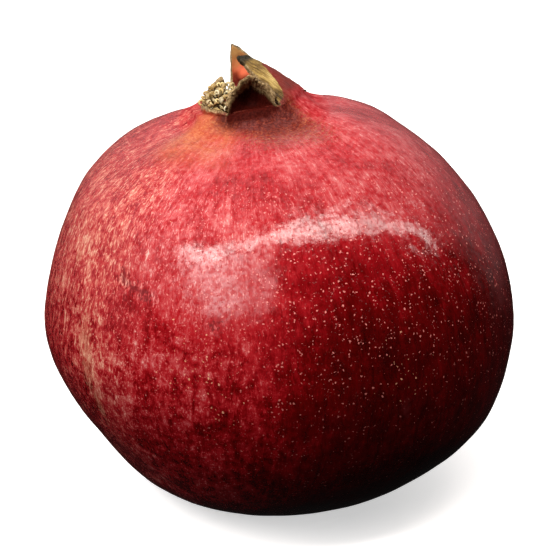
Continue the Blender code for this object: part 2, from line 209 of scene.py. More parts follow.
def curve_through(points, count):
    """`count` points evenly spaced along a smooth curve through the given ones."""
    p = np.array(points, float)
    ends = np.vstack([2 * p[0] - p[1], p, 2 * p[-1] - p[-2]])
    fine = []
    for i in range(len(p) - 1):
        a, b, c, d = ends[i : i + 4]
        for t in np.linspace(0, 1, 40, endpoint=False):
            square = 2 * a - 5 * b + 4 * c - d
            cube = 3 * b - a - 3 * c + d
            fine.append(0.5 * (2 * b + (c - a) * t + square * t**2 + cube * t**3))
    fine = np.array([*fine, p[-1]])
    along = np.concatenate([[0], np.cumsum(np.linalg.norm(np.diff(fine, axis=0), axis=1))])
    wanted = np.linspace(0, along[-1], count)
    return np.stack([np.interp(wanted, along, fine[:, k]) for k in range(p.shape[1])], axis=1)


def axis_at(height):
    """The axis's shift to the side and its lean at a height."""
    over = max(height - WAIST, 0) / (RIM_HEIGHT - WAIST)
    under = max(WAIST - height, 0) / WAIST
    shift = -CROWN_SHIFT * over**2 - FOOT_SHIFT * under**2
    lean = math.radians(CROWN_LEAN) * fade(height, LEAN_START, RIM_HEIGHT)
    return shift, lean


def placed(local, height):
    """Points given round the axis at a height, (x, y, rise), in the fruit's own frame."""
    shift, lean = axis_at(height)
    x = local[..., 0] * math.cos(lean) - local[..., 2] * math.sin(lean) + shift
    z = local[..., 0] * math.sin(lean) + local[..., 2] * math.cos(lean) + height
    return np.stack([x, local[..., 1], z], axis=-1)


def round_axis(azimuth, radius, rise=0.0):
    """Points at these azimuths (radians) and radii, round an upright axis."""
    rise = np.broadcast_to(rise, np.shape(azimuth))
    return np.stack([radius * np.cos(azimuth), radius * np.sin(azimuth), rise], axis=-1)


def columns():
    """Each column's azimuth, its lobe's name and its place across that lobe, -1 to 1."""
    azimuth, names, across = [], [], []
    for name, lobe in LOBES.items():
        start, end = lobe["span"]
        count = 2 * round((end - start) * COLUMNS_PER_DEGREE / 2)
        for i in range(count):
            place = i / count - 0.5
            u = 0.5 * math.sin(place * math.pi) + place
            azimuth.append(math.radians((start + end) / 2 + u * (end - start) / 2))
            names.append(name)
            across.append(u)
    return np.array(azimuth), np.array(names), np.array(across)


def swell(azimuth, height):
    """How far the broad swells stand out from the outline, square to it."""
    out = np.zeros_like(azimuth)
    for where, level, amount, wide, tall in SWELLS:
        out += amount * hill(azimuth, height, where, level, wide, tall)
    return out


def body_ring(azimuth, across, radius, height, slope):
    """One ring of the body's outside; `slope` is how steeply the outline climbs there."""
    ribs = RIB_HEIGHT * np.cos(math.pi * across) * fade(height, RIB_END, RIB_TOP)
    out = swell(azimuth, height) + ribs * smooth((RIM_HEIGHT - height) / 0.002)
    return placed(round_axis(azimuth, radius + out * math.sin(slope), -out * math.cos(slope)), height)


def edge_height(lobe, u):
    """How high a lobe's edge stands over the rim, across it."""
    tip = lobe["tip"]
    skewed = np.where(u > tip, (u - tip) / (1 - tip), (u - tip) / (1 + tip))
    if lobe["sharp"] > BLUNT:
        gable = (1 - np.abs(skewed)) * (1 - np.abs(u) ** (lobe["sharp"] / 2))
        shape = (1 - GABLE) * (1 - np.abs(u) ** lobe["sharp"]) + GABLE * gable
    else:
        shape = (1 - np.abs(skewed) ** lobe["sharp"]) ** 1.1
    return NOTCH + (lobe["height"] - NOTCH) * shape


def lobe_sheet(lobe, u, share):
    """The lobe's outside at u across it and a share of the way up to its edge."""
    start, end = (math.radians(a) for a in lobe["span"])
    middle, half = (start + end) / 2, (end - start) / 2
    edge = edge_height(lobe, u)
    if "lean" not in lobe:
        return pressed_sheet(lobe, u, share, middle, half, edge)
    steps = 60
    along = np.linspace(0, lobe["height"], steps)
    f = along / lobe["height"]
    lean = np.radians(lobe["lean"][0] * smooth(f / 0.12) + (lobe["lean"][1] - lobe["lean"][0]) * f**1.3)
    turn = np.radians(lobe["turn"]) * f
    out = np.array([math.cos(middle), math.sin(middle), 0])
    side = np.array([-math.sin(middle), math.cos(middle), 0])
    up = np.array([0, 0, 1.0])
    rising = np.cos(lean)[:, None] * up - np.sin(lean)[:, None] * out
    inward = -np.cos(lean)[:, None] * out - np.sin(lean)[:, None] * up
    direction = np.cos(turn)[:, None] * rising + np.sin(turn)[:, None] * side
    lateral = np.cos(turn)[:, None] * side - np.sin(turn)[:, None] * rising
    step = along[1] - along[0]
    travelled = np.cumsum((direction[1:] + direction[:-1]) / 2 * step, axis=0)
    centre = RIM_RADIUS * out + np.vstack([[0, 0, 0], travelled])
    bend = (1 + (lobe["cup"] - 1) * f) / RIM_RADIUS
    at = np.clip(edge * share / lobe["height"], 0, 1) * (steps - 1)
    grid = np.arange(steps)

    def pick(values):
        if values.ndim == 1:
            return np.interp(at, grid, values)
        return np.stack([np.interp(at, grid, values[:, k]) for k in range(3)], axis=-1)

    arc = u * half * RIM_RADIUS
    k = pick(bend)
    return (
        pick(centre)
        + pick(lateral) * (np.sin(k * arc) / k)[..., None]
        + pick(inward) * ((1 - np.cos(k * arc)) / k)[..., None]
    )


def pressed_sheet(lobe, u, share, middle, half, edge):
    """The front lobe: it dips in behind the rim, and its edge comes forward again."""
    steps = 60
    way = curve_through(PRESSED_IN, steps + 1)
    at, marks = share * steps, np.arange(steps + 1)
    inward = np.interp(at, marks, way[:, 0]) * np.clip(1 - np.abs(u) ** 3.2, 0, 1) ** 0.8
    rise = np.interp(at, marks, way[:, 1]) * (edge + lobe.get("torn", 0)) / lobe["height"]
    azimuth = middle + u * half * (1 - 0.12 * share)
    return round_axis(azimuth, RIM_RADIUS - inward, 0.0) + np.stack([0 * rise, 0 * rise, rise], axis=-1)


def calyx(azimuth, names, across):
    """The lobes' outer and inner surfaces, as rows of points round the rim's axis."""
    lobes = list(LOBES.values())
    shares = np.sin(np.linspace(0, math.pi / 2, LOBE_STEPS)) ** 1.15
    outside = np.zeros((LOBE_STEPS, len(azimuth), 3))
    edge = np.zeros(len(azimuth))
    for c, (name, u) in enumerate(zip(names, across)):
        lobe = dict(LOBES[name])
        torn = fractal(Vector((azimuth[c] * 9, 0, SEED)), 0.7, 2.0, 4) * (1 - abs(u) ** 6)
        lobe["torn"] = 0 if "lean" in lobe else lobe["ragged"] * torn
        lobe["height"] += lobe["ragged"] * torn - lobe["torn"]
        outside[:, c] = lobe_sheet(lobe, np.full(LOBE_STEPS, u), shares)
        edge[c] = edge_height(lobe, u) + lobe["torn"]
        if abs(u + 1) < 1e-6:
            before = lobes[list(LOBES).index(name) - 1]
            outside[:, c] = 0.5 * (outside[:, c] + lobe_sheet(before, np.ones(LOBE_STEPS), shares))
    down = np.gradient(outside, axis=0)
    around = np.roll(outside, -1, axis=1) - np.roll(outside, 1, axis=1)
    inward = np.cross(down, around)
    inward /= np.linalg.norm(inward, axis=-1, keepdims=True) + 1e-12
    rim_inward = -round_axis(azimuth, np.ones_like(azimuth))
    shares = shares[:, None]
    blend = (smooth(shares * edge / ROOT_BLEND) * smooth((1 - np.abs(across)) / 0.05))[..., None]
    inward = blend * inward + (1 - blend) * rim_inward
    inward /= np.linalg.norm(inward, axis=-1, keepdims=True)
    wall = WALL + (LOBE_WALL - WALL) * smooth(shares / 0.35)
    to_edge = (1 - shares) * edge[None, :]
    half = 0.5 * wall * np.sqrt(1 - (1 - np.clip(to_edge / (0.5 * LOBE_WALL), 0, 1)) ** 2)
    middle = outside + inward * (0.5 * wall)[..., None]
    up = shares * edge[None, :]
    lump = LUMP_DEPTH * hill(azimuth, up, *LUMP) * smooth(to_edge / LUMP_DEPTH)
    inner = middle + inward * (half + lump)[..., None]
    return middle - inward * half[..., None], inner, up, to_edge


def put(name, data):
    made = bpy.data.objects.new(name, data)
    bpy.context.scene.collection.objects.link(made)
    return made


class Grid:
    """Rings of points, the masks that the finish reads, and the way travelled."""

    def __init__(self, count):
        self.count = count
        self.rings, self.masks = [], {}
        self.travelled, self.last = 0.0, (0.0, SCAR_DEPTH)

    def travel(self, radius, height):
        self.travelled += math.dist(self.last, (radius, height))
        self.last = (radius, height)
        return self.travelled

    def add(self, ring, **masks):
        for name in masks:
            self.masks.setdefault(name, [np.zeros(self.count)] * len(self.rings))
        self.rings.append(ring)
        for name, rows in self.masks.items():
            rows.append(np.broadcast_to(masks.get(name, 0.0), (self.count,)).astype(float))


def pressed_share(names, across):
    """How far a column is on the pressed-in lobe, 0 to 1."""
    return (names == "front") * smooth((1 - np.abs(across)) / 0.08)


def add_foot(grid, even):
    """The rings of the foot, from the stem scar's middle to where the body starts."""
    for radius, height in FOOT:
        ring = placed(round_axis(even, np.full(grid.count, radius)), 0.0) + [0, 0, height]
        scar = smooth((SCAR_RADIUS * 1.15 - radius) / (SCAR_RADIUS * 0.5))
        grid.add(ring, along=grid.travel(radius, height), azimuth=even, scar=scar)


def add_skin(grid, even, azimuth, names, across):
    """The rings of the body and neck, whose columns gather for the lobes."""
    outline = curve_through(OUTLINE, SKIN_ROWS)
    slopes = np.gradient(outline, axis=0)
    slopes = np.arctan2(slopes[:, 1], slopes[:, 0])
    neck_start = round(SKIN_ROWS * (1 - NECK_SHARE))
    sill_share = pressed_share(names, across) * smooth((0.85 - across) / 0.5)
    for row in range(1, SKIN_ROWS - 1):
        radius, height = outline[row]
        f = max(row + 1 - neck_start, 0) / (SKIN_ROWS - neck_start)
        turned = even * (1 - f) + azimuth * f
        ring = body_ring(turned, across, radius, height, slopes[row])
        neck = smooth((NECK_RADIUS - radius) / NECK_FADE) if height > WAIST else 0.0
        # painted shade of the pressed-in front lobe, carried down the skin just under its rim
        sill_shade = sill_share * smooth((height - RIM_HEIGHT + 2.0 * MM) / (1.4 * MM))
        grid.add(ring, along=grid.travel(radius, height), azimuth=turned, neck=neck, hollow=sill_shade)


def add_calyx(grid, azimuth, names, across):
    """The rings up the lobes' outside, down their inside and into the cup."""
    outer, inner, up_lobe, to_edge = calyx(azimuth, names, across)
    flesh = np.array([LOBES[name]["flesh"] for name in names])
    dry = np.array([LOBES[name]["dry"] for name in names])
    dry_from = np.where(names == "right", 1.2 + 9.0 * smooth((across + 0.70) / 1.1), 0.5) * MM
    left, right = np.clip(0.1 - across, 0, 1), np.clip(across - 0.1, 0, 1)
    lip_width = (1.7 - left - 0.5 * right) * MM * (names == "front")

    def shared(row):
        """The masks that both sides of the lobes have."""
        up = up_lobe[row]
        # the right lobe's curled tip, where shade is painted
        tip = (names == "right") * smooth((up - TIP_SHADE_FROM) / (2 * MM))
        edge = np.exp(-to_edge[row] / EDGE_FADE)
        return {
            "along": grid.travelled + up, "azimuth": azimuth, "across": across, "neck": 1.0,
            "lobe": up / (10 * MM), "edge": edge, "tip": tip,
        }

    for row in range(LOBE_STEPS):
        grid.add(
            placed(outer[row], RIM_HEIGHT), **shared(row), hollow=pressed_share(names, across),
            dry=dry * smooth((up_lobe[row] - dry_from) / (2.5 * MM)),
            lip=smooth((lip_width - to_edge[row]) / (0.6 * MM)),
        )
    for row in range(LOBE_STEPS - 2, -1, -1):
        lump = hill(azimuth, up_lobe[row], *LUMP)
        grid.add(placed(inner[row], RIM_HEIGHT), **shared(row), inside=1.0, flesh=flesh, lump=lump)
    for i in range(1, CUP_ROWS + 1):
        f = i / CUP_ROWS
        ring = inner[0].copy()
        ring[:, :2] *= 1 - 0.9 * smooth(f) ** 1.3
        ring[:, 2] = inner[0][:, 2] * (1 - f) - CUP_DEPTH * math.sin(f * math.pi / 2)
        grid.add(
            placed(ring, RIM_HEIGHT), along=grid.travelled - CUP_DEPTH * f, azimuth=azimuth,
            neck=1.0, inside=1.0, cup=f, across=across,
        )


def fruit_grid():
    """The whole surface as rings, from the stem scar to the cup's floor."""
    azimuth, names, across = columns()
    even = np.linspace(0, 2 * math.pi, len(azimuth), endpoint=False) + azimuth[0]
    grid = Grid(len(azimuth))
    add_foot(grid, even)
    add_skin(grid, even, azimuth, names, across)
    add_calyx(grid, azimuth, names, across)
    return grid


def grid_mesh(name, grid):
    """A closed mesh from the rings, with the masks as point attributes."""
    rows, count = len(grid.rings), grid.count
    points = np.concatenate(grid.rings)
    ends = [grid.rings[0].mean(axis=0), grid.rings[-1].mean(axis=0)]
    points = np.vstack([points, ends])
    pairs = [(c, (c + 1) % count) for c in range(count)]
    faces = []
    for low in range(0, (rows - 1) * count, count):
        high = low + count
        faces += [(low + c, low + d, high + d, high + c) for c, d in pairs]
    top, first, last = (rows - 1) * count, rows * count, rows * count + 1
    for c, d in pairs:
        faces += [(d, c, first), (top + c, top + d, last)]
    mesh = bpy.data.meshes.new(name)
    mesh.from_pydata(points.tolist(), [], faces)
    mesh.shade_smooth()
    for mask, values in grid.masks.items():
        if mask not in ("azimuth", "along"):
            flat = np.concatenate([*values, [values[0][0], values[-1][0]]])
            layer = mesh.attributes.new(mask, "FLOAT", "POINT")
            layer.data.foreach_set("value", flat.astype(np.float32))
    turn, along = np.concatenate(grid.masks["azimuth"]), np.concatenate(grid.masks["along"])
    grain = np.stack([np.cos(turn) * GRAIN_RADIUS, np.sin(turn) * GRAIN_RADIUS, along], axis=-1) / MM
    grain = np.vstack([grain, [0, 0, along[0] / MM], [0, 0, along[-1] / MM]])
    layer = mesh.attributes.new("grain", "FLOAT_VECTOR", "POINT")
    layer.data.foreach_set("vector", grain.astype(np.float32).ravel())
    return mesh


def add_place_masks(grid):
    """Masks for how light the skin is, and where it is streaked, marked or stained."""
    azimuth = np.array(grid.masks["azimuth"])
    rings = np.array(grid.rings)
    height = rings[..., 2] / MM
    girth = np.linalg.norm(rings[..., :2], axis=-1) / GRAIN_RADIUS
    turn = (np.degrees(azimuth) - TURN_START) % 360 + TURN_START
    fading = fade(turn, *BACK_AGAIN)
    deep_side = fade(turn, *DEEP_SIDE) * (1 - 0.55 * fade(turn, *DEEP_SIDE_EASES)) * fading
    # Both reds darken towards the bottom, the deep one most: partly the skin's deeper red, partly painted
    # shade.
    light_red_and_shade = 0.58 - 0.15 * fade(height, 46, 24)
    deep_red_and_shade = 0.15 + 0.45 * np.clip((height - 42) / 30, 0, 1) ** 1.6
    tone = light_red_and_shade * (1 - deep_side) + deep_red_and_shade * deep_side
    for where, level, amount, wide, tall in TONE_PATCHES:
        tone += amount * hill(azimuth, height, where, level, wide, tall)
    streaked = (1 - deep_side * fade(height, 76, 62)) * (1 - 0.62 * fade(turn, *STREAKS_EASE) * fading)
    streaked *= 1 - 0.4 * fade(height, 70, 78)
    mottled = (1 - deep_side) * fade(height, 58, 44) * fade(turn, *MOTTLED_SIDE) * fading
    streaked *= 1 - 0.35 * mottled
    blush = fade(away_from(azimuth, BLUSH_AZIMUTH), 36, 10) * fade(height, 73, 78)
    collar = fade(height, 75.5, 81.5) * fade(away_from(azimuth, COLLAR_AZIMUTH), 68, 30)
    masks = {
        "tone": tone, "streaked": streaked, "mottled": mottled, "girth": girth, "blush": blush,
        "collar": collar, "crimson": fade(turn, *CRIMSON_SIDE) * fading,
    }
    for name, places in MARKS.items():
        masks[name] = sum(hill(azimuth, height, *place) for place in places)
    for name, values in masks.items():
        grid.masks[name] = list(values)


def bumpy(points, size, octaves=3):
    """Smooth noise, about -1 to 1, with lumps of this size."""
    return np.array([fractal(Vector(p / size), 0.8, 2.0, octaves) for p in points])


def add_relief(mesh):
    """The skin's shallow dents and wrinkles, and the ridges of the dry lobes."""
    points = np.array([v.co for v in mesh.vertices])
    normals = np.array([normal.vector for normal in mesh.vertex_normals])

    def mask(name):
        return np.array([point.value for point in mesh.attributes[name].data])

    lobe = smooth(mask("lobe") / 0.25)
    free = 1 - smooth(mask("scar") / 0.5)
    stretched = np.stack([points[:, 0] * 0.3, points[:, 1], points[:, 2] * 0.3], axis=-1)
    body = 0.20 * bumpy(points, 0.017) + 0.03 * bumpy(points, 0.005)
    neck = smooth(mask("neck")) * 0.10 * bumpy(points, 0.0014)
    ridges = 0.16 * bumpy(stretched, 0.0007) + 0.10 * bumpy(points, 0.0022)
    out = (body * (1 - lobe) + neck * (1 - lobe) + ridges * lobe) * free * smooth(points[:, 2] / 0.004)
    out = out * (1 - 2 * mask("inside") * lobe)
    moved = points + normals * (out * MM)[:, None]
    mesh.vertices.foreach_set("co", moved.ravel())
    mesh.update()


def make_fruit():
    grid = fruit_grid()
    add_place_masks(grid)
    mesh = grid_mesh("fruit_skin", grid)
    fruit = put("fruit_skin", mesh)
    points = np.array([v.co for v in mesh.vertices])
    low, high = points.min(axis=0), points.max(axis=0)
    box_low, box_high = (np.array(corner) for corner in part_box("fruit"))
    offset = (box_low + box_high) / 2 - (low + high) / 2
    offset[2] = box_low[2] - low[2]
    mesh.transform(Matrix.Translation(offset))
    add_relief(mesh)
    return fruit, Vector(offset)


# ============ stamens ============


class Threads:
    """Round tubes in one mesh; each point has its kind, its tone and its turn round the tube."""

    def __init__(self):
        self.points, self.faces, self.values = [], [], []

    def tube(self, centres, radii, sides, part, tone, squash=1.0):
        """A closed tube; squash flattens it across the bend it makes."""
        centres = [Vector(c) for c in centres]
        start = len(self.points)
        across = (centres[1] - centres[0]).orthogonal().normalized()
        bend = (centres[-1] - centres[0]).cross(centres[len(centres) // 2] - centres[0])
        if bend.length > 1e-9:
            across = bend.normalized()
        for i, (centre, radius) in enumerate(zip(centres, radii)):
            way = (centres[min(i + 1, len(centres) - 1)] - centres[max(i - 1, 0)]).normalized()
            across = (across - way * across.dot(way)).normalized()
            side = way.cross(across)
            for k in range(sides):
                angle = 2 * math.pi * k / sides
                self.points.append(
                    centre + (across * math.cos(angle) * squash + side * math.sin(angle)) * radius
                )
                self.values.append((part, tone, 0.5 + 0.5 * math.sin(angle)))
        for i in range(len(centres) - 1):
            for k in range(sides):
                a, b = start + i * sides + k, start + i * sides + (k + 1) % sides
                self.faces.append((a, b, b + sides, a + sides))
        last = start + (len(centres) - 1) * sides
        self.faces.append(tuple(range(start + sides - 1, start - 1, -1)))
        self.faces.append(tuple(range(last, last + sides)))

    def mesh(self, name):
        mesh = bpy.data.meshes.new(name)
        mesh.from_pydata(self.points, [], self.faces)
        mesh.shade_smooth()
        for mask, values in zip(("anther", "tone", "turn"), zip(*self.values)):
            mesh.attributes.new(mask, "FLOAT", "POINT").data.foreach_set("value", values)
        return mesh


def off_skin(tree, points, gap):
    """The points, moved out where they are nearer to the skin than the gap; None if one is deep in it."""
    moved = []
    for point in points:
        near, normal, _, distance = tree.find_nearest(point)
        inside = (point - near).dot(normal) < 0
        if inside and distance > TOO_DEEP:
            return None
        moved.append(near + normal * gap if inside or distance < gap else point)
    return moved


def add_stamen(threads, tree, root, head, draw):
    """A curved filament from the cup to the head, with a bean-shaped anther bent round its end."""
    way = (head - root).normalized()
    aside = way.orthogonal().normalized()
    aside.rotate(Matrix.Rotation(draw.uniform(0, 2 * math.pi), 3, way))
    bow = aside * draw.uniform(0.2, 0.9) * MM
    tone = draw.random()
    shares = [i / FILAMENT_STEPS for i in range(FILAMENT_STEPS + 1)]
    stalk = [root.lerp(head, t) + bow * 4 * t * (1 - t) for t in shares]
    stalk = off_skin(tree, stalk, 1.5 * FILAMENT_RADIUS)
    if stalk is None:
        return
    threads.tube(stalk, [FILAMENT_RADIUS * (1.25 - 0.5 * t) for t in shares], 6, 0.0, tone)
    size = draw.uniform(0.85, 1.2)
    radius = ANTHER_LENGTH * 0.36 * size
    middle = stalk[-1] + way * ANTHER_WIDTH * 0.4
    opening = math.radians(draw.uniform(60, 130))
    lean = (way + aside * draw.uniform(-0.9, 0.9)).normalized()
    flat = lean.cross(aside).normalized()
    flat.rotate(Matrix.Rotation(draw.uniform(-1.0, 1.0), 3, lean))
    shares = [i / ANTHER_STEPS for i in range(ANTHER_STEPS + 1)]
    turns = [(math.pi * 2 - opening) * (t - 0.5) for t in shares]
    arc = [middle + (lean * math.cos(turn) + flat * math.sin(turn)) * radius for turn in turns]
    arc = off_skin(tree, arc, ANTHER_WIDTH * 0.6)
    if arc is None:
        return
    tapers = [math.sin(math.pi * min(max(t, 0.04), 0.96)) ** 0.4 for t in shares]
    threads.tube(arc, [ANTHER_WIDTH * 0.52 * size * taper for taper in tapers], 8, 1.0, tone, squash=1.15)


def make_stamens(fruit, offset):
    """The dry stamens, crowded in the crown and spilling over its front left rim."""
    draw = random.Random(SEED)
    mesh = fruit.data
    mesh.calc_loop_triangles()
    triangles = [tuple(t.vertices) for t in mesh.loop_triangles]
    tree = BVHTree.FromPolygons([v.co for v in mesh.vertices], triangles)
    aim = Vector(TUFT_AIM).to_track_quat("Z", "Y")
    golden = math.pi * (3 - math.sqrt(5))
    threads = Threads()
    for i in range(STAMENS):
        rise = 1 - 0.95 * (i + 0.5) / STAMENS
        flat = math.sqrt(1 - rise * rise)
        way = np.array(aim @ Vector((flat * math.cos(i * golden), flat * math.sin(i * golden), rise)))
        for share in (1.0, 0.9, 0.8, 0.7, 0.6):
            local = TUFT_CENTRE + way * TUFT_REACH * share * (1.0, 0.78)[i % 2] * draw.uniform(0.94, 1.02)
            head = Vector(placed(local, RIM_HEIGHT)) + offset
            low = TUFT_CENTRE * (0.6, 0.6, 1) + [*way[:2] * 0.0022, -0.0035]
            root = Vector(placed(low, RIM_HEIGHT)) + offset
            near, normal, _, distance = tree.find_nearest(head)
            if distance > ANTHER_WIDTH * 1.4 and (head - near).dot(normal) > 0:
                add_stamen(threads, tree, root, head, draw)
                break
    return put("dry_stamens", threads.mesh("dry_stamens"))


# ============ finish ============

# Colours are linear red, green and blue. A ramp is a row of stops: (place, colour).
DEEPEST = ((0.0, (0.03, 0.0003, 0.0003)), (0.12, (0.06, 0.0006, 0.0006)))
RED = (
    *DEEPEST, (0.25, (0.105, 0.001, 0.0015)), (0.4, (0.21, 0.003, 0.0055)), (0.55, (0.35, 0.015, 0.02)),
    (0.66, (0.47, 0.06, 0.052)), (0.8, (0.58, 0.18, 0.13)), (1.0, (0.7, 0.38, 0.26)),
)
CRIMSON = (
    *DEEPEST, (0.25, (0.115, 0.001, 0.0015)), (0.4, (0.24, 0.003, 0.0055)), (0.55, (0.38, 0.011, 0.016)),
    (0.68, (0.49, 0.056, 0.06)), (0.84, (0.59, 0.17, 0.16)), (1.0, (0.73, 0.4, 0.36)),
)
DUST = (0.5, 0.15, 0.13)
SPECK = (0.8, 0.25, 0.22)
CREAM = (0.74, 0.4, 0.22)
SCAB = ((0.38, (0.42, 0.085, 0.05)), (0.6, (0.62, 0.32, 0.2)))
SCUFF = (0.1, 0.005, 0.007)
ORANGE = ((0.35, (0.4, 0.065, 0.024)), (0.65, (0.54, 0.17, 0.065)))
BROWN = (
    (0.38, (0.055, 0.008, 0.005)), (0.5, (0.17, 0.025, 0.01)),
    (0.58, (0.3, 0.072, 0.026)), (0.68, (0.46, 0.18, 0.065)),
)
STALK_RED = ((0.35, (0.09, 0.008, 0.006)), (0.62, (0.21, 0.028, 0.018)))
TAN = (
    (0.36, (0.055, 0.031, 0.009)), (0.46, (0.17, 0.1, 0.027)),
    (0.54, (0.32, 0.21, 0.055)), (0.64, (0.58, 0.43, 0.16)),
)
FLESH = (
    (0.05, (0.045, 0.007, 0.004)), (0.24, (0.2, 0.02, 0.011)),
    (0.48, (0.5, 0.1, 0.036)), (0.8, (0.5, 0.26, 0.085)),
)
LUMP_RED = (0.62, 0.12, 0.05)
HUSK = ((0.4, (0.022, 0.014, 0.005)), (0.6, (0.1, 0.07, 0.028)))
CUP_BROWN = ((0.4, (0.03, 0.012, 0.005)), (0.6, (0.11, 0.055, 0.022)))
# Painted shade: the pressed-in front lobe and the skin just under its rim are near black.
HOLLOW_SHADE = ((0.4, (0.03, 0.0028, 0.0018)), (0.65, (0.06, 0.0065, 0.004)))
TORN = ((0.38, (0.06, 0.036, 0.014)), (0.5, (0.22, 0.145, 0.065)), (0.64, (0.52, 0.38, 0.19)))
# Painted shade on the right lobe's curled tip.
TIP_SHADE = ((0.4, (0.009, 0.007, 0.003)), (0.6, (0.038, 0.028, 0.013)))
CORK = ((0.35, (0.05, 0.025, 0.012)), (0.65, (0.24, 0.14, 0.07)))
ANTHER = ((0.25, (0.7, 0.5, 0.18)), (0.45, (0.86, 0.71, 0.34)), (0.7, (0.95, 0.88, 0.58)))
GROOVE = (0.18, 0.09, 0.022)
THREAD = ((0.3, (0.06, 0.034, 0.01)), (0.7, (0.22, 0.13, 0.036)))
RIND_IOR = 1.54


class Nodes:
    """A short hand for placing and joining the nodes of one tree."""

    def __init__(self, tree):
        self.tree = tree

    def add(self, kind, inputs=(), **settings):
        made = self.tree.nodes.new(kind)
        for name, value in settings.items():
            setattr(made, name, value)
        self.feed(made, dict(inputs))
        return made

    def feed(self, node, inputs):
        for key, value in inputs.items():
            self.join(value, node.inputs[key])

    def join(self, value, socket):
        if isinstance(value, bpy.types.NodeSocket):
            self.tree.links.new(value, socket)
        elif socket.type == "RGBA":
            socket.default_value = (*value, 1)
        else:
            socket.default_value = value

    def maths(self, operation, *values):
        """The operation on the first two values, then on that and the next."""
        result = values[0]
        for value in values[1:]:
            result = self.add("ShaderNodeMath", {0: result, 1: value}, operation=operation).outputs[0]
        return result

    times = partialmethod(maths, "MULTIPLY")
    plus = partialmethod(maths, "ADD")
    most = partialmethod(maths, "MAXIMUM")

    def swing(self, noise, amount):
        """The noise moved down to lie round 0, times the amount."""
        return self.times(self.plus(noise, -0.5), amount)

    def step(self, value, low, high, bottom=0.0, top=1.0):
        """From bottom at low to top at high, smoothly; low may be the larger."""
        values = {"Value": value, "From Min": low, "From Max": high, "To Min": bottom, "To Max": top}
        return self.add("ShaderNodeMapRange", values, interpolation_type="SMOOTHSTEP").outputs[0]

    def blend(self, mask, a, b):
        """The colour a where the mask is 0, and b where it is 1."""
        return self.add("ShaderNodeMix", {"Factor": mask, 6: a, 7: b}, data_type="RGBA").outputs[2]

    def ramp(self, value, stops):
        made = self.add("ShaderNodeValToRGB", {"Fac": value})
        elements = made.color_ramp.elements
        while len(elements) < len(stops):
            elements.new(0.5)
        for element, (place, colour) in zip(elements, stops):
            element.position = place
            element.color = (*colour, 1)
        return made.outputs["Color"]

    def mask(self, name):
        return self.add("ShaderNodeAttribute", attribute_name=name).outputs["Fac"]

    def place(self):
        """Where a point is on the piece, in millimetres."""
        return self.scaled(self.add("ShaderNodeTexCoord").outputs["Object"], (1000, 1000, 1000))

    def scaled(self, vector, by):
        return self.add("ShaderNodeVectorMath", {0: vector, 1: by}, operation="MULTIPLY").outputs[0]

    def noise(self, vector, scale, detail=2.0, roughness=0.5, distortion=0.0):
        values = {"Vector": vector, "Scale": scale, "Detail": detail}
        values |= {"Roughness": roughness, "Distortion": distortion}
        return self.add("ShaderNodeTexNoise", values).outputs["Fac"]

    def group(self, tree, **inputs):
        inputs = {name.title(): value for name, value in inputs.items()}
        return self.add("ShaderNodeGroup", inputs, node_tree=tree).outputs["Mask"]

    def bump(self, height, strength, distance):
        values = {"Height": height, "Strength": strength, "Distance": distance}
        return self.add("ShaderNodeBump", values).outputs["Normal"]


def new_group(name, inputs):
    """An empty group that takes a Vector and these named numbers and gives a Mask."""
    tree = bpy.data.node_groups.new(name, "ShaderNodeTree")
    tree.interface.new_socket("Vector", in_out="INPUT", socket_type="NodeSocketVector")
    for socket, value in inputs.items():
        made = tree.interface.new_socket(socket, in_out="INPUT", socket_type="NodeSocketFloat")
        made.default_value = value
    tree.interface.new_socket("Mask", in_out="OUTPUT", socket_type="NodeSocketFloat")
    n = Nodes(tree)
    return tree, n, n.add("NodeGroupInput").outputs, n.add("NodeGroupOutput").inputs["Mask"]


def streak_group():
    """Wavy streaks along the vector's third direction; Width and Length are in mm."""
    tree, n, given, out = new_group("streaks", {"Width": 0.5, "Length": 1.4})
    across = n.maths("DIVIDE", 1, given["Width"])
    along = n.maths("DIVIDE", 1, given["Length"])
    scale = n.add("ShaderNodeCombineXYZ", {"X": across, "Y": across, "Z": along}).outputs[0]
    n.join(n.noise(n.scaled(given["Vector"], scale), 1, 2, 0.6, 1.1), out)
    return tree


def speckle_group():
    """Small comma-shaped specks, Spacing and Size in mm, in this Amount of the places."""
    tree, n, given, out = new_group("speckles", {"Spacing": 0.7, "Size": 0.2, "Amount": 0.5})
    bend = n.add("ShaderNodeTexNoise", {"Vector": given["Vector"], "Scale": 2.4, "Detail": 1.0})
    bent = n.add(
        "ShaderNodeVectorMath", {0: bend.outputs["Color"], 1: (0.6, 0.6, 0.6), 2: given["Vector"]},
        operation="MULTIPLY_ADD",
    ).outputs[0]
    share = n.maths("DIVIDE", 1, given["Spacing"])
    cells = n.add("ShaderNodeTexVoronoi", {"Vector": bent, "Scale": share})
    drawn = n.add("ShaderNodeSeparateColor", {"Color": cells.outputs["Color"]}).outputs
    kept = n.maths("LESS_THAN", drawn["Red"], given["Amount"])
    size = n.times(given["Size"], share, n.plus(n.times(drawn["Green"], 0.8), 0.4))
    spot = n.step(cells.outputs["Distance"], size, n.times(size, 0.55))
    n.join(n.times(spot, kept), out)
    return tree


def new_material(name):
    material = bpy.data.materials.new(name)
    material.use_nodes = True
    tree = material.node_tree
    return material, Nodes(tree), tree.nodes["Principled BSDF"]


